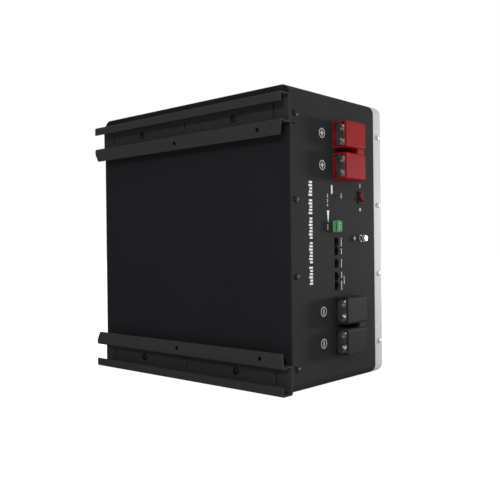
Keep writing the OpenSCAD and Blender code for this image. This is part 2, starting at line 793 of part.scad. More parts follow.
plug_u = hood_u + 2.7;
plug_z = mid_h + 18;
poles = 4;
header_wall = 1;
header_w = plug_w + 2 * header_wall + 0.6;
header_h = plug_h + 2 * header_wall + 0.6;
header_in = 12;
header_floor = 3;
pole_pitch = plug_h / (poles + 0.18);
pin_w = 1;
plug_hole = 2.6;
plug_screw_r = 1.5;
plug_screw_out = 5.4;

module pole_places() for (i = [0:poles - 1])
    translate([0, (i - (poles - 1) / 2) * pole_pitch, 0]) children();

module signal_header() color("#3f9a55") on_panel(plug_u, plug_z) difference() {
    translate([0, 0, -header_in]) linear_extrude(header_in) square([header_w, header_h], center = true);
    translate([0, 0, -header_in + header_floor]) linear_extrude(cut)
        square([plug_w + 0.6, plug_h + 0.6], center = true);
    pole_places() translate([0, 0, -header_in - eps])
        linear_extrude(cut) square(pin_w + slip, center = true);
}

module header_pins() color("#d8d2b8") on_panel(plug_u, plug_z) pole_places()
    translate([0, 0, -board_in - 2 * board_t]) linear_extrude(board_in + 2 * board_t - 2)
        square(pin_w, center = true);

module signal_plug() color("#46a35c") on_panel(plug_u, plug_z) difference() {
    rotate([90, 0, 90]) translate([0, 0, -plug_w / 2]) linear_extrude(plug_w) polygon(rounded([
        [-plug_h / 2, -plug_in, 0],
        [plug_h / 2, -plug_in, 0],
        [plug_h / 2, plug_out - 2.2, 0.8],
        [plug_h / 2 - 1.8, plug_out, 0.8],
        [-plug_h / 2 + 1.8, plug_out, 0.8],
        [-plug_h / 2, plug_out - 2.2, 0.8]
    ]));
    pole_places() {
        translate([0, 0, -plug_in - eps]) linear_extrude(6) square(pin_w + 0.8, center = true);
        translate([1.2, 0, plug_out - 4]) linear_extrude(cut) square(plug_hole, center = true);
        translate([-plug_w / 2, 0, plug_screw_out]) rotate([0, -90, 0]) hole(plug_screw_r + 0.1, 2.2);
    }
}

module plug_screws() color("#c6c6c2") on_panel(plug_u, plug_z) pole_places()
    translate([-plug_w / 2 + 2.2, 0, plug_screw_out]) rotate([0, -90, 0]) difference() {
        cylinder(r = plug_screw_r, h = 1.5);
        translate([0, 0, 1.5]) cube([4, 0.5, 1], center = true);
    }

// ---- data sockets --------------------------------------------------------------------------

jack_centres = [
    mid_h - 10 + jack_pitch / 2, mid_h - 10 - jack_pitch / 2,
    mid_h - 34,
    mid_h - 59 + jack_pitch / 2, mid_h - 59 - jack_pitch / 2
];
jack_depth = 16;
mouth_in = 13;
mouth_w = 8.4;
mouth_h = 11.8;
latch_w = 2.2;
latch_h = 4.4;
jack_w = 13.4;
jack_wall = 1;

// The mouth of one socket: a box with a notch on the latch's side
module jack_mouth(depth, grow) for (step = [[0, mouth_w, mouth_h], [latch_w, mouth_w, latch_h]])
    translate([step[0] - step[1] / 2 - grow, -step[2] / 2 - grow, -depth])
        cube([step[1] + 2 * grow, step[2] + 2 * grow, 2 * depth]);

module jack(centres) {
    low = min(centres) - mouth_h / 2 - jack_wall;
    high = max(centres) + mouth_h / 2 + jack_wall;
    difference() {
        panel_box([jack_u - jack_w / 2 + 1, jack_u + jack_w / 2 + 1], [low, high],
            [-sheet_t - jack_depth, -sheet_t]);
        for (z = centres) on_panel(jack_u, z) jack_mouth(mouth_in + sheet_t, 0);
    }
}

module jack_upper() color("#1a1a1b") jack([jack_centres[0], jack_centres[1]]);
module jack_middle() color("#1a1a1b") jack([jack_centres[2]]);
module jack_lower() color("#1a1a1b") jack([jack_centres[3], jack_centres[4]]);

// Eight sprung contacts in each socket, on the side away from the latch
module jack_contacts() color("#d9b24c") for (z = jack_centres) on_panel(jack_u, z)
    mirror([1, 0, 0]) for (i = [0:7])
        translate([mouth_w / 2 - 0.1, (i - 3.5) * 1.02 - 0.2, -sheet_t - mouth_in + 0.5])
            rotate([0, -12, 0]) translate([-0.5, 0, 0]) cube([0.4, 0.4, 9]);

// ---- light and reset ------------------------------------------------------------------------

light_u = 91;
light_z = mid_h + 69.5;
light_h = 12.5;
light_w = 3;
light_out = 1;
reset_u = 101.4;
reset_z = mid_h + 61;
reset_r = 1.2;
reset_sink = 0.6;                            // button tip below the panel's face
reset_travel = 0.8;
reset_seat = 2.5;                            // the button's collar above the interface board
reset_collar = 1;
board_in = 19;                               // interface board behind the panel
board_reach = 80;                            // half the interface board's height
guide_w = 7;
guide_h = 5;

module light_pipe() color("#e9e9ee") on_panel(light_u, light_z)
    translate([0, 0, -board_in + 1])
        linear_extrude(board_in - 1 + light_out) rotate(90) slot_2d(light_h, light_w);

module reset_button() color("#c9c9c9") on_panel(reset_u, reset_z) {
    translate([0, 0, -board_in + reset_seat])
        cylinder(r = reset_r, h = board_in - reset_seat - reset_sink);
    translate([0, 0, -board_in + reset_seat]) cylinder(r = reset_r + 0.8, h = reset_collar);
}

module reset_guide() color("#2a2a2b") on_panel(reset_u, reset_z) difference() {
    translate([-guide_w / 2, -guide_w / 2, -board_in + slip]) cube([guide_w, guide_w, guide_h]);
    translate([0, 0, -board_in + reset_seat - reset_travel - 0.5])
        cylinder(r = reset_r + 1.2, h = reset_travel + reset_collar + 1.1);
    translate([0, 0, -board_in + reset_seat]) cylinder(r = reset_r + fit, h = cut);
}

module interface_board() color("#1f6b43") {
    low = mid_h - board_reach;
    high = mid_h + board_reach;
    difference() {
        panel_box([82, 116], [low, high], [-board_in - board_t, -board_in]);
        on_panel(plug_u, plug_z) pole_places()
            translate([0, 0, -cut]) linear_extrude(cut) square(pin_w + slip, center = true);
    }
    for (z = [low + 6, high - 8])
        panel_box([112, 115], [z, z + 5], [-board_in - 7, -board_in - board_t + eps]);
}

// ---- every node -----------------------------------------------------------------------------

case_shell();
back_plate();
front_cover();
cover_frame();
cover_gasket();
upper_rail();
lower_rail();
rail_screws();
rail_nuts();
back_screws();
cover_screws();
positive_hoods();
negative_hoods();
positive_terminals();
negative_terminals();
terminal_bolts();
terminal_washers();
terminal_insulators();
bar_bolts();
positive_bar();
negative_bar();
main_fuse();
positive_link();
negative_link();
earth_bolt();
earth_washers();
earth_nut();
switch_body();
switch_rocker();
signal_header();
header_pins();
signal_plug();
plug_screws();
jack_upper();
jack_middle();
jack_lower();
jack_contacts();
light_pipe();
reset_guide();
reset_button();
interface_board();
bms_heatsink();
bms_board();
sense_ribbon();
end_plate_near();
end_plate_far();
cell_1();
cell_2();
cell_3();
cell_4();
cell_5();
cell_6();
cell_7();
cell_8();
cell_spacers();
cell_pad();
clamp_straps();
cell_links();
link_nuts();
link_cover();
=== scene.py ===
"""Wall-hung battery module: finishes, marks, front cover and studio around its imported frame."""

import json
import math

import bmesh
import bpy
from bpy.props import FloatProperty, FloatVectorProperty, PointerProperty
from mathutils import Matrix, Vector

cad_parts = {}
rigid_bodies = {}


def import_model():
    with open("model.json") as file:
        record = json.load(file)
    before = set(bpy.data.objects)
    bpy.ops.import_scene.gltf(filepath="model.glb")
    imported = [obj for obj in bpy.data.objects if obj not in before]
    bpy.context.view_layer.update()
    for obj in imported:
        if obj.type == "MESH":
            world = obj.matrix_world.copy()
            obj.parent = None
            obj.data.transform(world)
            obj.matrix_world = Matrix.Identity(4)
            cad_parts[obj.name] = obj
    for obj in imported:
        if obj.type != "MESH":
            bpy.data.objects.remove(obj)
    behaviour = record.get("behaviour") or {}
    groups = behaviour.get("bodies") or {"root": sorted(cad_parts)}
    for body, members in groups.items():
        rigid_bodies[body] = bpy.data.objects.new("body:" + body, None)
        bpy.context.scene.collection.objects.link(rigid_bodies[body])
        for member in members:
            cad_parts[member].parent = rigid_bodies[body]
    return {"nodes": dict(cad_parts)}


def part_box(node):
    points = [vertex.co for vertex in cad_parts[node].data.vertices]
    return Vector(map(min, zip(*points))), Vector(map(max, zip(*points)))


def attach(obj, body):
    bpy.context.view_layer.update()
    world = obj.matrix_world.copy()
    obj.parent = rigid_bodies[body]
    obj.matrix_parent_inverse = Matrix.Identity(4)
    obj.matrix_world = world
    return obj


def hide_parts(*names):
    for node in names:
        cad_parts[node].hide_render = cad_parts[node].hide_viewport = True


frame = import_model()
for leftover in [o for o in bpy.data.objects if o.name in ("Cube", "Light", "Camera")]:
    bpy.data.objects.remove(leftover)
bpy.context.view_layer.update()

bl_info = {
    "name": "Wall-hung battery module",
    "version": (1, 0, 0),
    "blender": (4, 5, 0),
    "location": "View3D > Sidebar > Battery module",
    "description": "Dresses the packed frame of a battery module and sets its studio",
    "category": "Object",
}

MM = 0.001

# ---- where things are, read from the frame -----------------------------------------------

CASE_LOW, CASE_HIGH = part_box("case_shell")
COVER_LOW, COVER_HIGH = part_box("front_cover")
PANEL_X = CASE_LOW.x
BACK_Y = CASE_HIGH.y
MID_Z = (CASE_LOW.z + CASE_HIGH.z) / 2
SAME_PLACE = 1e-6


def middle(node):
    """Middle of a CAD node's box."""
    low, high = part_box(node)
    return (low + high) / 2


def on_panel(u, z, out=0.0):
    """Point on the connector end: u runs from the back of the case, out away from the panel."""
    return Vector((PANEL_X - out, BACK_Y - u, z))


def panel_u(y):
    """Distance of a depth Y from the back of the case."""
    return BACK_Y - y


# ---- node trees --------------------------------------------------------------------------


class Tree:
    """Short calls that add nodes to one node tree and join them."""

    def __init__(self, tree):
        self.tree = tree

    def add(self, kind, inputs=None, **settings):
        node = self.tree.nodes.new(kind)
        for key, value in settings.items():
            setattr(node, key, value)
        for key, value in (inputs or {}).items():
            self.put(node.inputs[key], value)
        return node

    def put(self, socket, value):
        """Gives a socket a plain value, or links another socket to it."""
        if isinstance(value, bpy.types.NodeSocket):
            self.tree.links.new(value, socket)
        else:
            socket.default_value = value

    def math(self, operation, a, b=0.0, clamp=False):
        return self.add(
            "ShaderNodeMath", {0: a, 1: b}, operation=operation, use_clamp=clamp
        ).outputs[0]

    def noise(self, vector, scale, detail=3.0, roughness=0.5):
        values = {"Vector": vector, "Scale": scale, "Detail": detail, "Roughness": roughness}
        return self.add("ShaderNodeTexNoise", values).outputs["Fac"]

    def remap(self, value, low, high, to_low=0.0, to_high=1.0):
        values = {0: value, 1: low, 2: high, 3: to_low, 4: to_high}
        return self.add("ShaderNodeMapRange", values).outputs[0]

    def stretch(self, vector, scale):
        return self.add("ShaderNodeMapping", {"Vector": vector, "Scale": scale}).outputs[0]

    def mix_colour(self, factor, a, b, blend="MIX"):
        node = self.add("ShaderNodeMix", data_type="RGBA", blend_type=blend)
        for index, value in ((0, factor), (6, a), (7, b)):
            self.put(node.inputs[index], value)
        return node.outputs[2]

    def mix_value(self, factor, a, b):
        node = self.add("ShaderNodeMix", data_type="FLOAT")
        for index, value in ((0, factor), (2, a), (3, b)):
            self.put(node.inputs[index], value)
        return node.outputs[0]


def new_group(name, inputs, outputs):
    """A shader node group, with its Tree and its two end nodes."""
    tree = bpy.data.node_groups.new(name, "ShaderNodeTree")
    for socket, kind, default in inputs:
        made = tree.interface.new_socket(socket, in_out="INPUT", socket_type=kind)
        if default is not None:
            made.default_value = default
    for socket, kind in outputs:
        tree.interface.new_socket(socket, in_out="OUTPUT", socket_type=kind)
    build = Tree(tree)
    return build, build.add("NodeGroupInput").outputs, build.add("NodeGroupOutput").inputs


FLOAT = "NodeSocketFloat"
VECTOR = "NodeSocketVector"


def group_coat_grain():
    """Sprayed powder: orange peel, fine grit and slow changes of shade."""
    build, given, out = new_group(
        "coat_grain",
        [("Vector", VECTOR, None), ("Peel", FLOAT, 420.0), ("Grit", FLOAT, 2200.0)],
        [("Height", FLOAT), ("Shade", FLOAT)],
    )
    peel = build.noise(given["Vector"], given["Peel"], 2.0)
    grit = build.noise(given["Vector"], given["Grit"], 4.0, 0.65)
    build.put(out["Height"], build.mix_value(0.45, peel, grit))
    slow = build.noise(given["Vector"], 7.0, 3.0)
    fine = build.noise(given["Vector"], 160.0, 2.0)
    build.put(out["Shade"], build.mix_value(0.3, slow, fine))


def group_settled_dust():
    """Dust that lies on faces looking up, thicker in patches."""
    build, given, out = new_group(
        "settled_dust", [("Vector", VECTOR, None), ("Amount", FLOAT, 0.2)], [("Mask", FLOAT)]
    )
    normal = build.add("ShaderNodeNewGeometry").outputs["Normal"]
    upward = build.add("ShaderNodeSeparateXYZ", {0: normal}).outputs["Z"]
    patches = build.remap(build.noise(given["Vector"], 38.0, 6.0, 0.7), 0.35, 0.75)
    lying = build.math("MULTIPLY", build.math("MAXIMUM", upward, 0.0), patches)
    build.put(out["Mask"], build.math("MULTIPLY", lying, given["Amount"], clamp=True))


def group_edge_wear_and_highlight():
    """Mask of lighter edges, partly wear and partly painted highlight: one along sharp edges,
    broken up by noise, and nothing on the flats.
    """
    build, given, out = new_group(
        "edge_wear_and_highlight",
        [("Vector", VECTOR, None), ("Width", FLOAT, 0.8 * MM), ("Amount", FLOAT, 0.5)],
        [("Mask", FLOAT)],
    )
    rounded = build.add("ShaderNodeBevel", {"Radius": given["Width"]}, samples=4).outputs[0]
    plain = build.add("ShaderNodeNewGeometry").outputs["Normal"]
    together = build.add(
        "ShaderNodeVectorMath", {0: rounded, 1: plain}, operation="DOT_PRODUCT"
    ).outputs["Value"]
    turned = build.remap(together, 0.99, 0.8)
    broken = build.remap(build.noise(given["Vector"], 130.0, 5.0, 0.6), 0.35, 0.65, 0.35, 1.0)
    edge = build.math("MULTIPLY", turned, broken)
    build.put(out["Mask"], build.math("MULTIPLY", edge, given["Amount"], clamp=True))


def group_fine_scratches():
    """Thin streaks along one direction, as rolling and wiping leave on metal."""
    build, given, out = new_group(
        "fine_scratches",
        [("Vector", VECTOR, None), ("Stretch", VECTOR, None), ("Scale", FLOAT, 1.0)],
        [("Height", FLOAT), ("Mask", FLOAT)],
    )
    drawn = build.add(
        "ShaderNodeVectorMath", {0: given["Vector"], 1: given["Stretch"]}, operation="MULTIPLY"
    ).outputs["Vector"]
    streaks = build.noise(drawn, given["Scale"], 6.0, 0.7)
    build.put(out["Height"], streaks)
    build.put(out["Mask"], build.remap(streaks, 0.4, 0.7))


def group_moulded_skin():
    """Spark-eroded mould texture with faint flow shading."""
    build, given, out = new_group(
        "moulded_skin",
        [("Vector", VECTOR, None), ("Grain", FLOAT, 1500.0)],
        [("Height", FLOAT), ("Shade", FLOAT)],
    )
    pits = build.add("ShaderNodeTexVoronoi", {"Vector": given["Vector"], "Scale": given["Grain"]})
    fine = build.noise(given["Vector"], build.math("MULTIPLY", given["Grain"], 1.7), 3.0)
    build.put(out["Height"], build.mix_value(0.5, pits.outputs["Distance"], fine))
    build.put(out["Shade"], build.noise(given["Vector"], 55.0, 4.0))


def make_groups():
    for group in (
        group_coat_grain,
        group_settled_dust,
        group_edge_wear_and_highlight,
        group_fine_scratches,
        group_moulded_skin,
    ):
        group()


# ---- finishes ----------------------------------------------------------------------------


class Finish(Tree):
    """A material with one Principled shader, built on Object coordinates.

    Further values go straight on the shader's sockets, with _ for each space of a name.
    """

    def __init__(self, name, **sockets):
        self.material = bpy.data.materials.new(name)
        self.material.use_nodes = True
        super().__init__(self.material.node_tree)
        self.shader = self.tree.nodes["Principled BSDF"]
        self.place = self.add("ShaderNodeTexCoord").outputs["Object"]
        for key, value in sockets.items():
            self.shader.inputs[key.replace("_", " ")].default_value = value

    def group(self, name, **inputs):
        node = self.add("ShaderNodeGroup", node_tree=bpy.data.node_groups[name])
        self.put(node.inputs["Vector"], self.place)
        for key, value in inputs.items():
            self.put(node.inputs[key], value)
        return node.outputs

    def feed(self, socket, value):
        self.put(self.shader.inputs[socket], value)

    def bump(self, height, depth, strength=1.0):
        node = self.add(
            "ShaderNodeBump", {"Height": height, "Distance": depth, "Strength": strength}
        )
        self.feed("Normal", node.outputs["Normal"])

    def shaded(self, colour, shade, spread):
        """The colour, lighter and darker by the spread as the shade goes from 0 to 1."""
        dark = [c * (1 - spread) for c in colour[:3]] + [1.0]
        light = [min(1.0, c * (1 + spread)) for c in colour[:3]] + [1.0]
        return self.mix_colour(shade, dark, light)


def with_alpha(colour):
    return (*colour[:3], 1.0)


COAT_DUST = with_alpha((0.32, 0.31, 0.29))
PLASTIC_DUST = with_alpha((0.35, 0.34, 0.32))


def powder_coat(name, colour, rough, peel, depth, dust, wear_and_highlight_amount, gloss=0.01):
    finish = Finish(name, IOR=1.48, Specular_IOR_Level=gloss)
    grain = finish.group("coat_grain", Peel=peel)
    shade = finish.shaded(colour, grain["Shade"], 0.16)
    # Edges lightened: partly wear, partly a painted highlight along them.
    wear_and_highlight_mask = finish.group("edge_wear_and_highlight", Amount=wear_and_highlight_amount)["Mask"]
    colour_with_wear_and_highlight = finish.mix_colour(wear_and_highlight_mask, shade, with_alpha([min(1.0, c * 2.1 + 0.02) for c in colour]))
    dusty = finish.group("settled_dust", Amount=dust)["Mask"]
    finish.feed("Base Color", finish.mix_colour(dusty, colour_with_wear_and_highlight, COAT_DUST))
    uneven = finish.remap(grain["Shade"], 0.3, 0.7, rough - 0.05, rough + 0.06)
    finish.feed("Roughness", finish.mix_value(dusty, uneven, 0.85))
    finish.bump(grain["Height"], depth)
    return finish.material


def moulded(name, colour, rough, grain, depth, wear_and_highlight_amount=0.25, dust=0.1, gloss=0.015):
    finish = Finish(name, IOR=1.5, Specular_IOR_Level=gloss)
    skin = finish.group("moulded_skin", Grain=grain)
    shade = finish.shaded(colour, skin["Shade"], 0.12)
    # Edges lightened: partly wear, partly a painted highlight along them.
    wear_and_highlight_mask = finish.group("edge_wear_and_highlight", Amount=wear_and_highlight_amount, Width=0.5 * MM)["Mask"]
    pale = with_alpha([min(1.0, c * 1.5 + 0.03) for c in colour])
    colour_with_wear_and_highlight = finish.mix_colour(wear_and_highlight_mask, shade, pale)
    dusty = finish.group("settled_dust", Amount=dust)["Mask"]
    finish.feed("Base Color", finish.mix_colour(dusty, colour_with_wear_and_highlight, PLASTIC_DUST))
    finish.feed("Roughness", finish.remap(skin["Shade"], 0.3, 0.7, rough - 0.05, rough + 0.05))
    finish.bump(skin["Height"], depth)
    return finish.material


def bare_metal(name, colour, rough, stretch, spots=0.12, tarnish=(0.2, 0.17, 0.13)):
    finish = Finish(name, Metallic=1.0)
    scratches = finish.group("fine_scratches", Stretch=stretch)
    mottled = finish.shaded(colour, finish.noise(finish.place, 90.0, 5.0, 0.65), spots)
    stains = finish.remap(finish.noise(finish.place, 210.0, 5.0, 0.7), 0.6, 0.8, 0.0, 0.35)
    finish.feed("Base Color", finish.mix_colour(stains, mottled, with_alpha(tarnish)))
    finish.feed("Roughness", finish.remap(scratches["Mask"], 0, 1, rough - 0.06, rough + 0.1))
    finish.bump(scratches["Height"], 0.02 * MM)
    return finish.material


def spangled_steel(name):
    """Galvanised sheet with its patchwork of crystals."""
    finish = Finish(name, Metallic=1.0)
    values = {"Vector": finish.place, "Scale": 130.0}
    crystal = finish.add("ShaderNodeTexVoronoi", values).outputs["Color"]
    tone = finish.add("ShaderNodeSeparateColor", {0: crystal}).outputs[0]
    finish.feed("Base Color", finish.shaded((0.52, 0.54, 0.56), tone, 0.18))
    finish.feed("Roughness", finish.remap(tone, 0, 1, 0.32, 0.5))
    finish.bump(finish.group("fine_scratches", Stretch=(40.0, 40.0, 900.0))["Height"], 0.01 * MM)
    return finish.material


def white_ink(name, colour):
    """Screen-printed ink, slightly thin where the coat's grain stands up."""
    finish = Finish(name, IOR=1.45)
    grain = finish.group("coat_grain", Peel=600.0)
    thin = finish.remap(grain["Height"], 0.56, 0.72, 0.0, 0.5)
    even = finish.shaded(colour, grain["Shade"], 0.05)
    finish.feed("Base Color", finish.mix_colour(thin, even, (0.3, 0.3, 0.3, 1.0)))
    finish.feed("Roughness", finish.remap(grain["Shade"], 0.3, 0.7, 0.45, 0.6))
    finish.bump(grain["Height"], 0.02 * MM)
    return finish.material


def frosted_light(name):
    finish = Finish(name, IOR=1.49, Subsurface_Weight=0.3, Subsurface_Scale=2 * MM)
    skin = finish.group("moulded_skin", Grain=1900.0)
    finish.feed("Base Color", finish.shaded((0.72, 0.71, 0.69), skin["Shade"], 0.08))
    finish.feed("Roughness", finish.remap(skin["Shade"], 0.3, 0.7, 0.32, 0.45))
    finish.bump(skin["Height"], 0.02 * MM)
    return finish.material


def circuit_board(name):
    """Solder resist over a grid of tracks and plated holes."""
    finish = Finish(name, IOR=1.55, Coat_Weight=0.4)
    tracks = finish.add(
        "ShaderNodeTexBrick",
        {
            "Vector": finish.stretch(finish.place, (1.0, 260.0, 260.0)),
            "Color1": (0.02, 0.16, 0.07, 1.0),
            "Color2": (0.03, 0.22, 0.1, 1.0),
            "Mortar": (0.01, 0.1, 0.045, 1.0),
            "Scale": 1.0,
            "Mortar Size": 0.06,
        },
    )
    holes = finish.add("ShaderNodeTexVoronoi", {"Vector": finish.place, "Scale": 190.0})
    plated = finish.remap(holes.outputs["Distance"], 0.16, 0.12)
    mixed = finish.mix_colour(plated, tracks.outputs["Color"], (0.62, 0.5, 0.3, 1.0))
    finish.feed("Base Color", mixed)
    finish.feed("Roughness", finish.remap(plated, 0, 1, 0.32, 0.2))
    finish.bump(tracks.outputs["Fac"], 0.03 * MM)
    return finish.material


def fibre_sheet(name, colour, rough):
    """Pressed insulating sheet with short fibres in it."""
    finish = Finish(name, IOR=1.45)
    fibres = finish.group("fine_scratches", Stretch=(300.0, 60.0, 1100.0))
    flecks = finish.remap(finish.noise(finish.place, 700.0, 4.0, 0.7), 0.55, 0.8, 0.0, 0.35)
    toned = finish.shaded(colour, fibres["Mask"], 0.1)
    fleck_colour = with_alpha([c * 0.6 for c in colour])
    finish.feed("Base Color", finish.mix_colour(flecks, toned, fleck_colour))
    finish.feed("Roughness", finish.remap(fibres["Mask"], 0, 1, rough - 0.08, rough + 0.08))
    finish.bump(fibres["Height"], 0.04 * MM)
    return finish.material


def foam_rubber(name, colour):
    finish = Finish(name, IOR=1.5)
    cells = finish.add("ShaderNodeTexVoronoi", {"Vector": finish.place, "Scale": 850.0})
    distance = cells.outputs["Distance"]
    # Pores darker than the rims round them: painted shade in the cells.
    finish.feed("Base Color", finish.shaded(colour, distance, 0.4))
    finish.feed("Roughness", finish.remap(distance, 0, 1, 0.75, 0.95))
    finish.bump(distance, 0.2 * MM)
    return finish.material


def cell_film(name):
    """Blue shrink film with faint wrinkles over an aluminium can."""
    finish = Finish(name, IOR=1.5, Coat_Weight=0.5)
    wrinkles = finish.group("fine_scratches", Stretch=(60.0, 12.0, 25.0))
    # Wrinkle crests lighter and troughs darker: painted shading of the wrinkles.
    finish.feed("Base Color", finish.shaded((0.05, 0.13, 0.34), wrinkles["Mask"], 0.25))
    finish.feed("Roughness", finish.remap(wrinkles["Mask"], 0, 1, 0.25, 0.38))
    finish.bump(wrinkles["Height"], 0.15 * MM)
    return finish.material


def glazed_ceramic(name):
    finish = Finish(name, IOR=1.6, Coat_Weight=0.6)
    specks = finish.remap(finish.noise(finish.place, 500.0, 3.0), 0.68, 0.75, 0.0, 0.5)
    toned = finish.shaded((0.74, 0.71, 0.63), finish.noise(finish.place, 30.0), 0.08)
    finish.feed("Base Color", finish.mix_colour(specks, toned, (0.3, 0.25, 0.18, 1.0)))
    finish.feed("Roughness", finish.remap(specks, 0, 0.5, 0.18, 0.3))
    finish.bump(finish.noise(finish.place, 240.0), 0.05 * MM)
    return finish.material


def ribbon_cable(name):
    """Flat grey ribbon: one ridge for each wire."""
    finish = Finish(name, IOR=1.5)
    ridges = finish.add(
        "ShaderNodeTexWave",
        {"Vector": finish.place, "Scale": 250.0, "Distortion": 0.0},
        bands_direction="Z",
        wave_profile="SIN",
    ).outputs["Fac"]
    # Crests lighter and grooves darker: painted shade between the wires, following the ridges.
    finish.feed("Base Color", finish.shaded((0.36, 0.37, 0.39), ridges, 0.2))
    finish.feed("Roughness", finish.remap(ridges, 0, 1, 0.45, 0.6))
    finish.bump(ridges, 0.2 * MM)
    return finish.material


def make_finishes(looks):
    """Every finish of the module, by name."""
    along_x = (18.0, 1400.0, 1400.0)
    along_z = (1400.0, 1400.0, 30.0)
    across = (900.0, 900.0, 900.0)
    return {
        "case coat": powder_coat(
            "case_coat", looks.coat_colour, looks.coat_roughness, 420.0, 0.05 * MM, 0.03, 0.12
        ),
        "plate coat": powder_coat(
            "plate_coat", looks.plate_colour, looks.coat_roughness, 380.0, 0.05 * MM, 0.02, 0.1
        ),
        "rail coat": powder_coat(
            "rail_coat", looks.rail_colour, looks.rail_roughness, 520.0, 0.04 * MM, 0.06, 0.35
        ),
        "cover coat": powder_coat(
            "cover_coat", looks.cover_colour, 0.5, 480.0, 0.03 * MM, 0.02, 0.05, 0.08
        ),
        "red hood": moulded("red_hood", looks.positive_colour, 0.42, 1100.0, 0.05 * MM, 0.45),
        "black hood": moulded("black_hood", looks.negative_colour, 0.45, 1100.0, 0.05 * MM, 0.3),
        "red rocker": moulded("red_rocker", (0.16, 0.012, 0.018), 0.3, 2400.0, 0.01 * MM),
        "black body": moulded("black_body", (0.02, 0.02, 0.021), 0.34, 2000.0, 0.02 * MM),
        "green plug": moulded("green_plug", looks.plug_colour, 0.4, 1800.0, 0.03 * MM, 0.4),
        "socket black": moulded("socket_black", (0.014, 0.014, 0.015), 0.42, 1900.0, 0.02 * MM),
        "black oxide": bare_metal(
            "black_oxide", (0.04, 0.04, 0.042), 0.45, across, 0.2, (0.02, 0.019, 0.018)
        ),
        "zinc": bare_metal("zinc_plate", (0.78, 0.79, 0.78), 0.24, across, 0.1, (0.3, 0.29, 0.27)),
        "copper": bare_metal("copper_bar", (0.78, 0.42, 0.27), 0.3, along_z, 0.12),
        # Tin far darker than the pins' tin: painted shade for the bars inside the hood mouths.
        "tin bar painted shade": bare_metal("tin_bar_painted_shade", (0.34, 0.33, 0.32), 0.42, along_z, 0.15),
        "brass": bare_metal("brass_bolt", (0.86, 0.83, 0.74), 0.3, across, 0.1),
        "gold": bare_metal("gold_contact", (0.92, 0.68, 0.3), 0.2, along_x, 0.05),
        "tin": bare_metal("tin_pin", (0.76, 0.76, 0.74), 0.3, across, 0.1, (0.4, 0.39, 0.36)),
        "extrusion": bare_metal(
            "extruded_aluminium", (0.72, 0.73, 0.75), 0.36, along_z, 0.08, (0.5, 0.5, 0.5)
        ),
        "galvanised": spangled_steel("galvanised_steel"),
        "ink": white_ink("white_ink", looks.ink_colour),
        "light": frosted_light("frosted_light"),
        "board": circuit_board("circuit_board"),
        "sheet": fibre_sheet("fibre_sheet", (0.74, 0.72, 0.64), 0.7),
        "pad": foam_rubber("rubber_pad", (0.025, 0.025, 0.025)),
        "gasket": foam_rubber("foam_gasket", (0.018, 0.018, 0.018)),
        "film": cell_film("cell_film"),
        "ceramic": glazed_ceramic("glazed_ceramic"),
        "ribbon": ribbon_cable("ribbon_cable"),
    }


# Which finish each carried-over CAD node gets
DRESSED = {
    "case coat": ["case_shell"],
    "plate coat": ["back_plate"],
    "rail coat": ["upper_rail", "lower_rail"],
    "red hood": ["positive_hoods"],
    "black hood": ["negative_hoods"],
    "red rocker": ["switch_rocker"],
    "black body": ["switch_body", "reset_guide"],
    "green plug": ["signal_plug"],
    "socket black": ["jack_upper", "jack_middle", "jack_lower", "signal_header", "reset_button"],
    "black oxide": ["rail_screws", "back_screws"],
    "zinc": [
        "cover_screws",
        "rail_nuts",
        "terminal_bolts",
        "terminal_washers",
        "bar_bolts",
        "link_nuts",
    ],
    # The terminals' darkened tin is painted shade from inside the hood mouths.
    "tin bar painted shade": ["positive_terminals", "negative_terminals"],
    "copper": ["positive_bar", "negative_bar", "positive_link", "negative_link", "cell_links"],
    "brass": ["earth_bolt", "earth_washers", "earth_nut"],
    "gold": ["jack_contacts"],
    "tin": ["header_pins", "plug_screws"],
    "extrusion": ["bms_heatsink", "end_plate_near", "end_plate_far"],
    "galvanised": ["cover_frame", "clamp_straps"],
    "light": ["light_pipe"],
    "board": ["interface_board", "bms_board"],
    "sheet": ["terminal_insulators", "cell_spacers", "link_cover"],
    "pad": ["cell_pad"],
    "gasket": ["cover_gasket"],
    "film": [f"cell_{number}" for number in range(1, 9)],
    "ceramic": ["main_fuse"],
    "ribbon": ["sense_ribbon"],
}

# Width of the small round on the edges of each visible CAD node, in millimetres
SOFTENED = {
    "case_shell": 0.3,
    "back_plate": 0.3,
    "upper_rail": 0.35,
    "lower_rail": 0.35,
    "positive_hoods": 0.5,
    "negative_hoods": 0.5,
    "switch_body": 0.4,
    "switch_rocker": 0.35,
    "signal_plug": 0.3,
    "signal_header": 0.2,
    "jack_upper": 0.2,
    "jack_middle": 0.2,
    "jack_lower": 0.2,
    "terminal_bolts": 0.4,
    "positive_terminals": 0.3,
    "negative_terminals": 0.3,
    "earth_bolt": 0.5,
    "earth_washers": 0.2,
    "light_pipe": 0.3,
    "back_screws": 0.2,
    "cover_screws": 0.2,
    "rail_screws": 0.25,
}


def add_modifier(piece, name, kind, **settings):
    modifier = piece.modifiers.new(name, kind)
    for key, value in settings.items():
        setattr(modifier, key, value)
    return modifier


def soften(piece, width):
    """Joins a CAD node's triangles and rounds its sharp edges."""
    add_modifier(piece, "join", "WELD", merge_threshold=0.01 * MM)
    add_modifier(
        piece, "flats", "DECIMATE", decimate_type="DISSOLVE", angle_limit=math.radians(0.4)
    )
    add_modifier(
        piece,
        "edges",
        "BEVEL",
        width=width,
        segments=2,
        limit_method="ANGLE",
        angle_limit=math.radians(32),
    )


# ---- making pieces -----------------------------------------------------------------------


def finished_piece(name, bm, material, body):
    """Turns a bmesh into a piece that rides on a body."""
    bmesh.ops.recalc_face_normals(bm, faces=bm.faces)
    mesh = bpy.data.meshes.new(name)
    bm.to_mesh(mesh)
    bm.free()
    piece = bpy.data.objects.new(name, mesh)
    bpy.context.scene.collection.objects.link(piece)
    mesh.materials.append(material)
    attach(piece, body)
    return piece


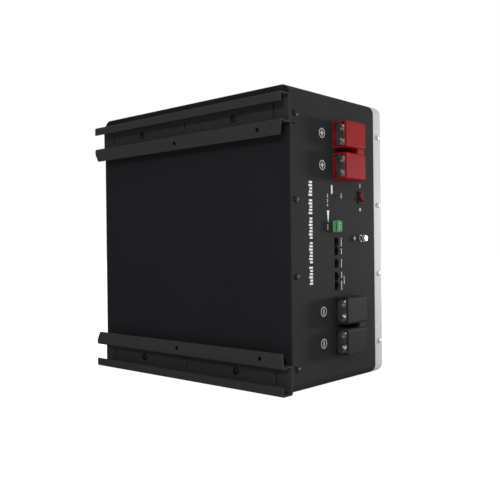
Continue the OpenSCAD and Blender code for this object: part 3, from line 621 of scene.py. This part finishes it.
def smooth_faces(piece, angle):
    """Shades the faces smooth, but keeps edges sharper than the angle."""
    piece.data.shade_smooth()
    piece.data.set_sharp_from_angle(angle=angle)


def printed_bar(bm, u, z, width, height, ink):
    """A printed bar: width runs across the panel and height up it."""
    place = Matrix.Translation(on_panel(u, z, ink / 2))
    size = Matrix.Diagonal((ink, width, height, 1.0))
    bmesh.ops.create_cube(bm, size=1.0, matrix=place @ size)


def printed_ring(bm, u, z, radius, width, ink):
    """A printed ring: a small rectangle spun round its middle."""
    centre = on_panel(u, z)
    corners = [
        centre + Vector((-depth, 0, r))
        for depth, r in ((0, radius - width), (0, radius), (ink, radius), (ink, radius - width))
    ]
    verts = [bm.verts.new(corner) for corner in corners]
    edges = [bm.edges.new((verts[i], verts[(i + 1) % 4])) for i in range(4)]
    bmesh.ops.spin(
        bm,
        geom=verts + edges,
        cent=centre,
        axis=Vector((1, 0, 0)),
        angle=2 * math.pi,
        steps=48,
        use_merge=True,
    )


# ---- settings ----------------------------------------------------------------------------


def colour_property(name, description, default):
    return FloatVectorProperty(
        name=name, description=description, default=default, subtype="COLOR", size=3, min=0, max=1
    )


def length_property(name, description, default):
    return FloatProperty(
        name=name, description=description, default=default, unit="LENGTH", subtype="DISTANCE"
    )


class ModuleLooks(bpy.types.PropertyGroup):
    """Colours and gloss of the visible finishes."""

    coat_colour: colour_property("Case coat", "Powder coat of the band", (0.036, 0.036, 0.0365))
    plate_colour: colour_property("Back plate coat", "Coat of the plate", (0.022, 0.023, 0.0255))
    rail_colour: colour_property("Rail coat", "Coat of the hanging rails", (0.05, 0.05, 0.051))
    cover_colour: colour_property("Cover coat", "Pale coat of the cover", (0.63, 0.635, 0.645))
    positive_colour: colour_property("Positive hoods", "Moulded red", (0.33, 0.014, 0.018))
    negative_colour: colour_property("Negative hoods", "Moulded black", (0.03, 0.03, 0.031))
    plug_colour: colour_property("Signal plug", "Moulded green", (0.16, 0.46, 0.2))
    ink_colour: colour_property("Ink", "White screen print", (0.8, 0.8, 0.79))
    coat_roughness: FloatProperty(
        name="Coat roughness", description="Gloss of the case", default=0.6, min=0, max=1
    )
    rail_roughness: FloatProperty(
        name="Rail roughness", description="Gloss of the rails", default=0.55, min=0, max=1
    )


class CoverShape(bpy.types.PropertyGroup):
    """Shape of the front cover."""

    corner: length_property("Corner", "Radius of the four long corners", 14 * MM)
    fold: length_property("Fold", "Outside radius where the face turns into the wall", 2.5 * MM)
    sheet: length_property("Sheet", "Thickness of the cover's sheet", 1.2 * MM)


# Lines of small print beside the sockets: lowest and highest point in millimetres from the
# middle of the case, and how many dashes lie between them
SOCKET_LINES = ((-10, 2, 5), (-21, -13, 3), (-40, -28, 5), (-55, -46, 3), (-72, -59, 5))
SECOND_ROW = (-64, -52, 6)
LIGHT_LINES = ((57.6, 63.4, 2), (51, 56, 2), (45.4, 49.4, 2), (13, 21, 3))
RESET_LINE = (58, 65.6, 4)
DASH_SHARE = 0.62

# How far each line of small print stands aside from its control
SOCKET_ASIDE = 11.4 * MM
SECOND_ROW_ASIDE = 6.4 * MM
LIGHT_ASIDE = 9.5 * MM
RESET_ASIDE = 13.6 * MM

# Wedge: its place aside from the state light, its ends over the middle, and its two widths
WEDGE_ASIDE = 8.5 * MM
WEDGE_LOW = 23.5 * MM
WEDGE_HIGH = 40 * MM
WEDGE_WIDTH = 5.2 * MM
WEDGE_FOOT_SHARE = 0.2

# Earth sign: a stem and three bars that grow shorter away from it
EARTH_ASIDE = 15.3 * MM
EARTH_STEM = (2.6 * MM, 0.9 * MM)
EARTH_STEM_ASIDE = 2.2 * MM
EARTH_BARS = (7.0, 4.6, 2.2)
EARTH_BAR_WIDTH = 1.0 * MM
EARTH_FIRST_BAR = 0.4
EARTH_BAR_PITCH = 1.7

# On and off signs over and under the switch
SIGN_ASIDE = 0.7 * MM
ON_OVER = 7.9 * MM
ON_BAR = (1.3 * MM, 6 * MM)
OFF_UNDER = 9 * MM
OFF_RING = (2.3 * MM, 0.9 * MM)

# Blocks in each word of the title, from the top, and the heights that its blocks take in turn
TITLE_WORDS = (5, 5, 7, 7, 6)
BLOCK_HEIGHTS = (8, 6, 7)


class PrintSizes(bpy.types.PropertyGroup):
    """Sizes of the marks printed on the connector end."""

    ink: length_property("Ink", "How far the ink stands on the coat", 0.08 * MM)
    ring_radius: length_property("Ring", "Outer radius of a terminal's ring", 6.8 * MM)
    ring_width: length_property("Ring line", "Width of the ring's line", 1.2 * MM)
    ring_aside: length_property("Ring place", "From the hoods' edge to the ring", 25.5 * MM)
    ring_inset: length_property("Ring inset", "From the hoods' ends to the ring", 18.5 * MM)
    sign_length: length_property("Sign", "Length of a plus or minus sign", 7.6 * MM)
    sign_width: length_property("Sign line", "Width of the sign's line", 2.2 * MM)
    line: length_property("Small print", "Width of a line of small print", 1.7 * MM)
    title_top: length_property("Title top", "Height of the title over the middle", 79 * MM)
    title_u: length_property("Title place", "Distance of the title from the back", 42 * MM)
    title_pitch: length_property("Title pitch", "From one block to the next", 4.3 * MM)
    title_block: length_property("Title block", "Width of a block", 2.8 * MM)
    title_space: length_property("Title space", "Space between two words", 3 * MM)


# Lights: the way from the connector end to each, its distance and its size, in metres
AIM_HEIGHT = 0.2
KEY_WAY = Vector((-0.33, -0.94, 0.03))
KEY_DISTANCE = 3.6
KEY_SIZE = 0.6
FILL_WAY = Vector((-0.45, 1.0, 0.4))
FILL_DISTANCE = 2.0
FILL_SIZE = 0.35

# Surround: the way it is brightest along, and its darkest and brightest level
BRIGHT_WAY = (0.0, -0.8, 0.6)
DARKEST = 0.06
BRIGHTEST = 0.8

FLOOR_HALF = 9.0
FLOOR_DROP = 0.2 * MM
FLOOR_GLOW = 0.85


class StudioSettings(bpy.types.PropertyGroup):
    """Camera, lights and floor."""

    lens: FloatProperty(name="Lens", description="Focal length", default=49.45, unit="CAMERA")
    heading: FloatProperty(
        name="Heading",
        description="Compass direction the camera looks along, from +X towards +Y",
        default=math.radians(-48.12),
        subtype="ANGLE",
    )
    pitch: FloatProperty(
        name="Pitch",
        description="How far the camera looks below the horizon",
        default=math.radians(0.27),
        subtype="ANGLE",
    )
    roll: FloatProperty(
        name="Roll",
        description="How far the camera is tipped over its right side",
        default=math.radians(0.634),
        subtype="ANGLE",
    )
    position: FloatVectorProperty(
        name="Position",
        description="Where the camera stands",
        default=(-0.7529, 0.8111, 0.1938),
        subtype="TRANSLATION",
    )
    key_power: FloatProperty(name="Key", description="Power of the key light", default=78.0)
    surround: FloatProperty(name="Surround", description="Light from all round", default=1.0)
    fill_power: FloatProperty(name="Fill", description="Power of the fill light", default=9.0)
    bounce: FloatProperty(name="Bounce", description="Light the floor gives", default=0.05)


SETTINGS = {
    "module_looks": ModuleLooks,
    "cover_shape": CoverShape,
    "print_sizes": PrintSizes,
    "studio_settings": StudioSettings,
}
FINISHES = {}

# ---- operators ---------------------------------------------------------------------------


class MODULE_OT_finishes(bpy.types.Operator):
    """Builds every finish and puts it on the CAD nodes that stay"""

    bl_idname = "battery_module.finishes"
    bl_label = "Dress the frame"

    def execute(self, context):
        make_groups()
        FINISHES.update(make_finishes(context.scene.module_looks))
        for finish, nodes in DRESSED.items():
            for node in nodes:
                frame["nodes"][node].material_slots[0].material = FINISHES[finish]
        for node, width in SOFTENED.items():
            soften(frame["nodes"][node], width * MM)
        return {"FINISHED"}


class MODULE_OT_cover(bpy.types.Operator):
    """Makes the front cover: a pale tray with round corners and a folded rim"""

    bl_idname = "battery_module.cover"
    bl_label = "Front cover"

    def execute(self, context):
        shape = context.scene.cover_shape
        size = COVER_HIGH - COVER_LOW
        bm = bmesh.new()
        place = Matrix.Translation((COVER_LOW + COVER_HIGH) / 2)
        bmesh.ops.create_cube(bm, size=1.0, matrix=place @ Matrix.Diagonal((*size, 1.0)))
        self.round_edges(bm, self.runs_along_y, shape.corner, 12)
        self.round_edges(bm, lambda e: self.on_face(e, COVER_LOW.y), shape.fold, 5)
        open_side = [f for f in bm.faces if self.on_face(f, COVER_HIGH.y)]
        bmesh.ops.delete(bm, geom=open_side, context="FACES_ONLY")
        bmesh.ops.recalc_face_normals(bm, faces=bm.faces)
        bmesh.ops.solidify(bm, geom=bm.faces[:], thickness=shape.sheet)
        cover = finished_piece("cover_shell", bm, FINISHES["cover coat"], "case")
        smooth_faces(cover, math.radians(35))
        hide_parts("front_cover")
        return {"FINISHED"}

    def runs_along_y(self, edge):
        along = edge.verts[0].co - edge.verts[1].co
        return abs(along.x) < SAME_PLACE and abs(along.z) < SAME_PLACE

    def on_face(self, part, y):
        return all(abs(v.co.y - y) < SAME_PLACE for v in part.verts)

    def round_edges(self, bm, picked, radius, segments):
        bmesh.ops.bevel(
            bm,
            geom=[e for e in bm.edges if picked(e)],
            offset=radius,
            offset_type="OFFSET",
            segments=segments,
            profile=0.5,
            affect="EDGES",
            material=-1,
        )


class MODULE_OT_terminal_marks(bpy.types.Operator):
    """Prints a plus or minus in a ring beside each terminal"""

    bl_idname = "battery_module.terminal_marks"
    bl_label = "Terminal marks"

    def execute(self, context):
        sizes = context.scene.print_sizes
        bm = bmesh.new()
        for node, plus in (("positive_hoods", True), ("negative_hoods", False)):
            low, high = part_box(node)
            u = panel_u(high.y) - sizes.ring_aside
            for z in (low.z + sizes.ring_inset, high.z - sizes.ring_inset):
                printed_ring(bm, u, z, sizes.ring_radius, sizes.ring_width, sizes.ink)
                printed_bar(bm, u, z, sizes.sign_width, sizes.sign_length, sizes.ink)
                if plus:
                    self.cross_strokes(bm, u, z, sizes)
        finished_piece("terminal_marks", bm, FINISHES["ink"], "case")
        return {"FINISHED"}

    def cross_strokes(self, bm, u, z, sizes):
        """The plus sign's two side arms, which meet its upright without lying on it."""
        arm = (sizes.sign_length - sizes.sign_width) / 2
        for side in (-1, 1):
            middle_u = u + side * (sizes.sign_width + arm) / 2
            printed_bar(bm, middle_u, z, arm, sizes.sign_width, sizes.ink)


class MODULE_OT_title(bpy.types.Operator):
    """Prints rows of blocks that stand in for the title on the connector end"""

    bl_idname = "battery_module.title"
    bl_label = "Title blocks"

    def execute(self, context):
        sizes = context.scene.print_sizes
        bm = bmesh.new()
        top = MID_Z + sizes.title_top
        tallest = max(BLOCK_HEIGHTS) * MM
        for blocks in TITLE_WORDS:
            for i in range(blocks):
                tall = BLOCK_HEIGHTS[(i + blocks) % len(BLOCK_HEIGHTS)] * MM
                u = sizes.title_u + (tallest - tall) / 2
                z = top - (i + 0.5) * sizes.title_pitch
                printed_bar(bm, u, z, tall, sizes.title_block, sizes.ink)
            top -= blocks * sizes.title_pitch + sizes.title_space
        finished_piece("title_blocks", bm, FINISHES["ink"], "case")
        return {"FINISHED"}


class MODULE_OT_small_marks(bpy.types.Operator):
    """Prints the plain dashes, wedge, earth sign and on-off marks beside the controls"""

    bl_idname = "battery_module.small_marks"
    bl_label = "Small marks"

    def execute(self, context):
        sizes = context.scene.print_sizes
        bm = bmesh.new()
        self.socket_dashes(bm, sizes)
        self.light_dashes(bm, sizes)
        self.wedge(bm, sizes)
        self.earth_sign(bm, sizes)
        self.switch_signs(bm, sizes)
        finished_piece("small_marks", bm, FINISHES["ink"], "case")
        return {"FINISHED"}

    def dashes(self, bm, u, line, sizes):
        """One line of small print: a row of dashes between the line's two heights."""
        low, high, count = line
        pitch = (high - low) / count * MM
        for i in range(count):
            z = MID_Z + low * MM + (i + 0.5) * pitch
            printed_bar(bm, u, z, sizes.line, DASH_SHARE * pitch, sizes.ink)

    def socket_dashes(self, bm, sizes):
        beside = panel_u(middle("jack_upper").y) + SOCKET_ASIDE
        for line in SOCKET_LINES:
            self.dashes(bm, beside, line, sizes)
        self.dashes(bm, beside + SECOND_ROW_ASIDE, SECOND_ROW, sizes)

    def light_dashes(self, bm, sizes):
        u = panel_u(middle("light_pipe").y) - LIGHT_ASIDE
        for line in LIGHT_LINES:
            self.dashes(bm, u, line, sizes)
        reset_u = panel_u(middle("reset_button").y) + RESET_ASIDE
        self.dashes(bm, reset_u, RESET_LINE, sizes)

    def wedge(self, bm, sizes):
        """A level wedge, wide at its top."""
        u = panel_u(middle("light_pipe").y) - WEDGE_ASIDE
        low, high = MID_Z + WEDGE_LOW, MID_Z + WEDGE_HIGH
        place = Matrix.Translation(on_panel(u, (low + high) / 2, sizes.ink / 2))
        size = Matrix.Diagonal((sizes.ink, WEDGE_WIDTH, high - low, 1.0))
        made = bmesh.ops.create_cube(bm, size=1.0, matrix=place @ size)["verts"]
        foot = [v for v in made if v.co.z < (low + high) / 2]
        narrower = (1, WEDGE_FOOT_SHARE, 1)
        bmesh.ops.scale(bm, vec=narrower, verts=foot, space=Matrix.Translation(-on_panel(u, 0)))

    def earth_sign(self, bm, sizes):
        z = middle("earth_bolt").z
        u = panel_u(middle("earth_bolt").y) - EARTH_ASIDE
        printed_bar(bm, u + EARTH_STEM_ASIDE, z, *EARTH_STEM, sizes.ink)
        for step, length in enumerate(EARTH_BARS):
            bar_u = u + (EARTH_FIRST_BAR - EARTH_BAR_PITCH * step) * MM
            printed_bar(bm, bar_u, z, EARTH_BAR_WIDTH, length * MM, sizes.ink)

    def switch_signs(self, bm, sizes):
        low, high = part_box("switch_body")
        u = panel_u((low.y + high.y) / 2) - SIGN_ASIDE
        printed_bar(bm, u, high.z + ON_OVER, *ON_BAR, sizes.ink)
        printed_ring(bm, u, low.z - OFF_UNDER, *OFF_RING, sizes.ink)


class MODULE_OT_studio(bpy.types.Operator):
    """Sets the floor, the surround, the lights and the camera"""

    bl_idname = "battery_module.studio"
    bl_label = "Studio"

    def execute(self, context):
        studio = context.scene.studio_settings
        context.scene.view_settings.view_transform = "Standard"
        self.floor(studio)
        self.surround(context.scene, studio)
        self.lights(studio)
        self.camera(context.scene, studio)
        return {"FINISHED"}

    def floor(self, studio):
        bm = bmesh.new()
        bmesh.ops.create_grid(bm, x_segments=8, y_segments=8, size=FLOOR_HALF)
        mesh = bpy.data.meshes.new("floor")
        bm.to_mesh(mesh)
        bm.free()
        floor = bpy.data.objects.new("floor", mesh)
        floor.data.transform(Matrix.Translation((0, 0, -FLOOR_DROP)))
        bpy.context.scene.collection.objects.link(floor)
        finish = Finish("pale_floor", Roughness=0.9)
        mottled = finish.shaded((0.7, 0.7, 0.7), finish.noise(finish.place, 3.0), 0.02)
        finish.feed("Base Color", mottled)
        finish.shader.inputs["Emission Color"].default_value = (1, 1, 1, 1)
        seen = finish.add("ShaderNodeLightPath").outputs["Is Camera Ray"]
        finish.feed("Emission Strength", finish.mix_value(seen, studio.bounce, FLOOR_GLOW))
        mesh.materials.append(finish.material)

    def surround(self, scene, studio):
        """A white room, which the object sees darker on the camera's side."""
        world = bpy.data.worlds.new("studio_room")
        world.use_nodes = True
        scene.world = world
        build = Tree(world.node_tree)
        shown = build.tree.nodes["Background"]
        way = build.add("ShaderNodeTexCoord").outputs["Generated"]
        facing = build.add(
            "ShaderNodeVectorMath", {0: way, 1: BRIGHT_WAY}, operation="DOT_PRODUCT"
        ).outputs["Value"]
        darkest, brightest = DARKEST * studio.surround, BRIGHTEST * studio.surround
        level = build.remap(facing, -0.8, 1.0, darkest, brightest)
        seen = build.add("ShaderNodeLightPath").outputs["Is Camera Ray"]
        build.put(shown.inputs["Color"], (1, 1, 1, 1))
        build.put(shown.inputs["Strength"], build.mix_value(seen, level, 1.0))

    def lights(self, studio):
        aim = Vector((PANEL_X, 0, AIM_HEIGHT))
        key = aim + KEY_DISTANCE * KEY_WAY.normalized()
        self.area_light("key", key, aim, KEY_SIZE, studio.key_power)
        fill = aim + FILL_DISTANCE * FILL_WAY.normalized()
        self.area_light("fill", fill, aim, FILL_SIZE, studio.fill_power)

    def area_light(self, name, place, aim, size, power):
        data = bpy.data.lights.new(name, "AREA")
        data.shape = "DISK"
        data.size = size
        data.energy = power
        light = bpy.data.objects.new(name, data)
        light.location = place
        light.rotation_euler = (place - aim).to_track_quat("Z", "Y").to_euler()
        bpy.context.scene.collection.objects.link(light)

    def camera(self, scene, studio):
        data = bpy.data.cameras.new("camera")
        data.sensor_width = 36
        data.lens = studio.lens
        data.clip_start = 0.01
        camera = bpy.data.objects.new("camera", data)
        scene.collection.objects.link(camera)
        forward = Vector(
            (
                math.cos(studio.heading) * math.cos(studio.pitch),
                math.sin(studio.heading) * math.cos(studio.pitch),
                -math.sin(studio.pitch),
            )
        )
        level = forward.to_track_quat("-Z", "Y").to_matrix().to_4x4()
        tipped = level @ Matrix.Rotation(-studio.roll, 4, "Z")
        camera.matrix_world = Matrix.Translation(studio.position) @ tipped
        scene.camera = camera


class MODULE_PT_panel(bpy.types.Panel):
    """Lists the module's settings and steps"""

    bl_idname = "MODULE_PT_panel"
    bl_label = "Battery module"
    bl_space_type = "VIEW_3D"
    bl_region_type = "UI"
    bl_category = "Battery module"

    def draw(self, context):
        for name, settings in SETTINGS.items():
            box = self.layout.box()
            for key in settings.__annotations__:
                box.prop(getattr(context.scene, name), key)
        for step in STEPS:
            self.layout.operator(step.bl_idname)


STEPS = (
    MODULE_OT_finishes,
    MODULE_OT_cover,
    MODULE_OT_terminal_marks,
    MODULE_OT_title,
    MODULE_OT_small_marks,
    MODULE_OT_studio,
)


def register():
    for name, settings in SETTINGS.items():
        bpy.utils.register_class(settings)
        setattr(bpy.types.Scene, name, PointerProperty(type=settings))
    for step in STEPS:
        bpy.utils.register_class(step)
    bpy.utils.register_class(MODULE_PT_panel)


def unregister():
    bpy.utils.unregister_class(MODULE_PT_panel)
    for step in reversed(STEPS):
        bpy.utils.unregister_class(step)
    for name, settings in SETTINGS.items():
        delattr(bpy.types.Scene, name)
        bpy.utils.unregister_class(settings)


def main():
    register()
    for step in STEPS:
        group, call = step.bl_idname.split(".")
        getattr(getattr(bpy.ops, group), call)()


if __name__ == "__main__":
    main()
